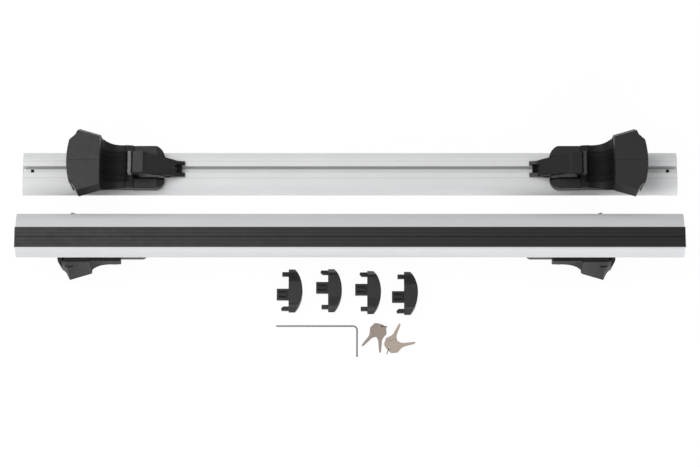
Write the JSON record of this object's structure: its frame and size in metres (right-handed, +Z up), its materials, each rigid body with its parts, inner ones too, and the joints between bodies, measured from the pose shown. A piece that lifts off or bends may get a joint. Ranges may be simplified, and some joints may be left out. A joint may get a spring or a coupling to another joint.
{
  "type": "roof rack",
  "caption": "Roof rack of two aerofoil crossbars with sliding clamp feet for raised rails, laid out with end caps, hex key and lock keys.",
  "frame": {"origin": "on the floor, at the middle of the laid-out set", "axes": "+X along the crossbars, +Y from the upright bar towards the overturned bar, +Z up"},
  "size_m": [1.203, 0.406, 0.106],
  "materials": {
    "anodised_aluminium": "satin anodised",
    "strip_rubber": "ribbed, matt",
    "foot_plastic": "fine spark-eroded grain",
    "inner_plastic": "fine grain",
    "cap_plastic": "moulded grain",
    "pad_rubber": "matt",
    "claw_steel": "black powder coat",
    "claw_pad_grey": "matt",
    "zinc_steel": "zinc plated",
    "key_nickel": "nickel plated, brushed",
    "lock_metal": "satin"
  },
  "bodies": {
    "root": {"lower_crossbar": "anodised_aluminium", "upper_crossbar": "anodised_aluminium", "lower_strip": "strip_rubber", "upper_strip": "strip_rubber", "end_cap_1": "cap_plastic", "end_cap_2": "cap_plastic", "end_cap_3": "cap_plastic", "end_cap_4": "cap_plastic", "hex_key": "zinc_steel", "lock_keys_1": "key_nickel", "lock_keys_2": "key_nickel", "key_links": "zinc_steel"},
    "upper_left_foot": {"upper_left_cover": "foot_plastic", "upper_left_housing": "inner_plastic", "upper_left_guide_block": "inner_plastic", "upper_left_saddle_pad": "pad_rubber", "upper_left_t_nuts": "zinc_steel", "upper_left_bolts": "zinc_steel"},
    "upper_left_claw": {"upper_left_claw": "claw_steel", "upper_left_claw_pad": "claw_pad_grey", "upper_left_claw_nut": "zinc_steel"},
    "upper_left_screw": {"upper_left_screw": "zinc_steel"},
    "upper_left_door": {"upper_left_door": "foot_plastic"},
    "upper_left_lock": {"upper_left_lock": "lock_metal"},
    "upper_right_foot": {"upper_right_cover": "foot_plastic", "upper_right_housing": "inner_plastic", "upper_right_guide_block": "inner_plastic", "upper_right_saddle_pad": "pad_rubber", "upper_right_t_nuts": "zinc_steel", "upper_right_bolts": "zinc_steel"},
    "upper_right_claw": {"upper_right_claw": "claw_steel", "upper_right_claw_pad": "claw_pad_grey", "upper_right_claw_nut": "zinc_steel"},
    "upper_right_screw": {"upper_right_screw": "zinc_steel"},
    "upper_right_door": {"upper_right_door": "foot_plastic"},
    "upper_right_lock": {"upper_right_lock": "lock_metal"},
    "lower_left_foot": {"lower_left_cover": "foot_plastic", "lower_left_housing": "inner_plastic", "lower_left_guide_block": "inner_plastic", "lower_left_saddle_pad": "pad_rubber", "lower_left_t_nuts": "zinc_steel", "lower_left_bolts": "zinc_steel"},
    "lower_left_claw": {"lower_left_claw": "claw_steel", "lower_left_claw_pad": "claw_pad_grey", "lower_left_claw_nut": "zinc_steel"},
    "lower_left_screw": {"lower_left_screw": "zinc_steel"},
    "lower_left_door": {"lower_left_door": "foot_plastic"},
    "lower_left_lock": {"lower_left_lock": "lock_metal"},
    "lower_right_foot": {"lower_right_cover": "foot_plastic", "lower_right_housing": "inner_plastic", "lower_right_guide_block": "inner_plastic", "lower_right_saddle_pad": "pad_rubber", "lower_right_t_nuts": "zinc_steel", "lower_right_bolts": "zinc_steel"},
    "lower_right_claw": {"lower_right_claw": "claw_steel", "lower_right_claw_pad": "claw_pad_grey", "lower_right_claw_nut": "zinc_steel"},
    "lower_right_screw": {"lower_right_screw": "zinc_steel"},
    "lower_right_door": {"lower_right_door": "foot_plastic"},
    "lower_right_lock": {"lower_right_lock": "lock_metal"}
  },
  "joints": [
    {"name": "upper_left_foot_slide", "type": "slide", "parent": "root", "child": "upper_left_foot", "axis": [-1, 0, 0], "range_m": [-0.182, 0.054]},
    {"name": "upper_left_claw_draw", "type": "slide", "parent": "upper_left_foot", "child": "upper_left_claw", "axis": [-1, 0, 0], "range_m": [0, 0.043]},
    {"name": "upper_left_screw_turn", "type": "hinge", "parent": "upper_left_foot", "child": "upper_left_screw", "pos_m": [-0.492, 0.14, 0.0415], "axis": [-1, 0, 0], "range_deg": [-5, 12389]},
    {"name": "upper_left_door_swing", "type": "hinge", "parent": "upper_left_foot", "child": "upper_left_door", "pos_m": [-0.5075, 0.14, 0.0975], "axis": [0, 1, 0], "range_deg": [0, 66]},
    {"name": "upper_left_lock_turn", "type": "hinge", "parent": "upper_left_door", "child": "upper_left_lock", "pos_m": [-0.507, 0.14, 0.068], "axis": [-1, 0, 0], "range_deg": [0, 90]},
    {"name": "upper_right_foot_slide", "type": "slide", "parent": "root", "child": "upper_right_foot", "axis": [1, 0, 0], "range_m": [-0.208, 0.028]},
    {"name": "upper_right_claw_draw", "type": "slide", "parent": "upper_right_foot", "child": "upper_right_claw", "axis": [1, 0, 0], "range_m": [0, 0.043]},
    {"name": "upper_right_screw_turn", "type": "hinge", "parent": "upper_right_foot", "child": "upper_right_screw", "pos_m": [0.518, 0.14, 0.0415], "axis": [1, 0, 0], "range_deg": [-5, 12389]},
    {"name": "upper_right_door_swing", "type": "hinge", "parent": "upper_right_foot", "child": "upper_right_door", "pos_m": [0.5335, 0.14, 0.0975], "axis": [0, -1, 0], "range_deg": [0, 66]},
    {"name": "upper_right_lock_turn", "type": "hinge", "parent": "upper_right_door", "child": "upper_right_lock", "pos_m": [0.533, 0.14, 0.068], "axis": [1, 0, 0], "range_deg": [0, 90]},
    {"name": "lower_left_foot_slide", "type": "slide", "parent": "root", "child": "lower_left_foot", "axis": [-1, 0, 0], "range_m": [-0.201, 0.035]},
    {"name": "lower_left_claw_draw", "type": "slide", "parent": "lower_left_foot", "child": "lower_left_claw", "axis": [-1, 0, 0], "range_m": [-0.026, 0.017]},
    {"name": "lower_left_screw_turn", "type": "hinge", "parent": "lower_left_foot", "child": "lower_left_screw", "pos_m": [-0.511, -0.002, 0.0645], "axis": [-1, 0, 0], "range_deg": [-7493, 4901]},
    {"name": "lower_left_door_swing", "type": "hinge", "parent": "lower_left_foot", "child": "lower_left_door", "pos_m": [-0.5265, -0.002, 0.0085], "axis": [0, -1, 0], "range_deg": [0, 66]},
    {"name": "lower_left_lock_turn", "type": "hinge", "parent": "lower_left_door", "child": "lower_left_lock", "pos_m": [-0.526, -0.002, 0.038], "axis": [-1, 0, 0], "range_deg": [0, 90]},
    {"name": "lower_right_foot_slide", "type": "slide", "parent": "root", "child": "lower_right_foot", "axis": [1, 0, 0], "range_m": [-0.152, 0.084]},
    {"name": "lower_right_claw_draw", "type": "slide", "parent": "lower_right_foot", "child": "lower_right_claw", "axis": [1, 0, 0], "range_m": [-0.026, 0.017]},
    {"name": "lower_right_screw_turn", "type": "hinge", "parent": "lower_right_foot", "child": "lower_right_screw", "pos_m": [0.462, -0.002, 0.0645], "axis": [1, 0, 0], "range_deg": [-7493, 4901]},
    {"name": "lower_right_door_swing", "type": "hinge", "parent": "lower_right_foot", "child": "lower_right_door", "pos_m": [0.4775, -0.002, 0.0085], "axis": [0, 1, 0], "range_deg": [0, 66]},
    {"name": "lower_right_lock_turn", "type": "hinge", "parent": "lower_right_door", "child": "lower_right_lock", "pos_m": [0.477, -0.002, 0.038], "axis": [1, 0, 0], "range_deg": [0, 90]}
  ],
  "couplings": [
    {"joint": "upper_left_screw_turn", "follows": "upper_left_claw_draw", "rad_per_m": 5026.5},
    {"joint": "upper_right_screw_turn", "follows": "upper_right_claw_draw", "rad_per_m": 5026.5},
    {"joint": "lower_left_screw_turn", "follows": "lower_left_claw_draw", "rad_per_m": 5026.5},
    {"joint": "lower_right_screw_turn", "follows": "lower_right_claw_draw", "rad_per_m": 5026.5}
  ]
}
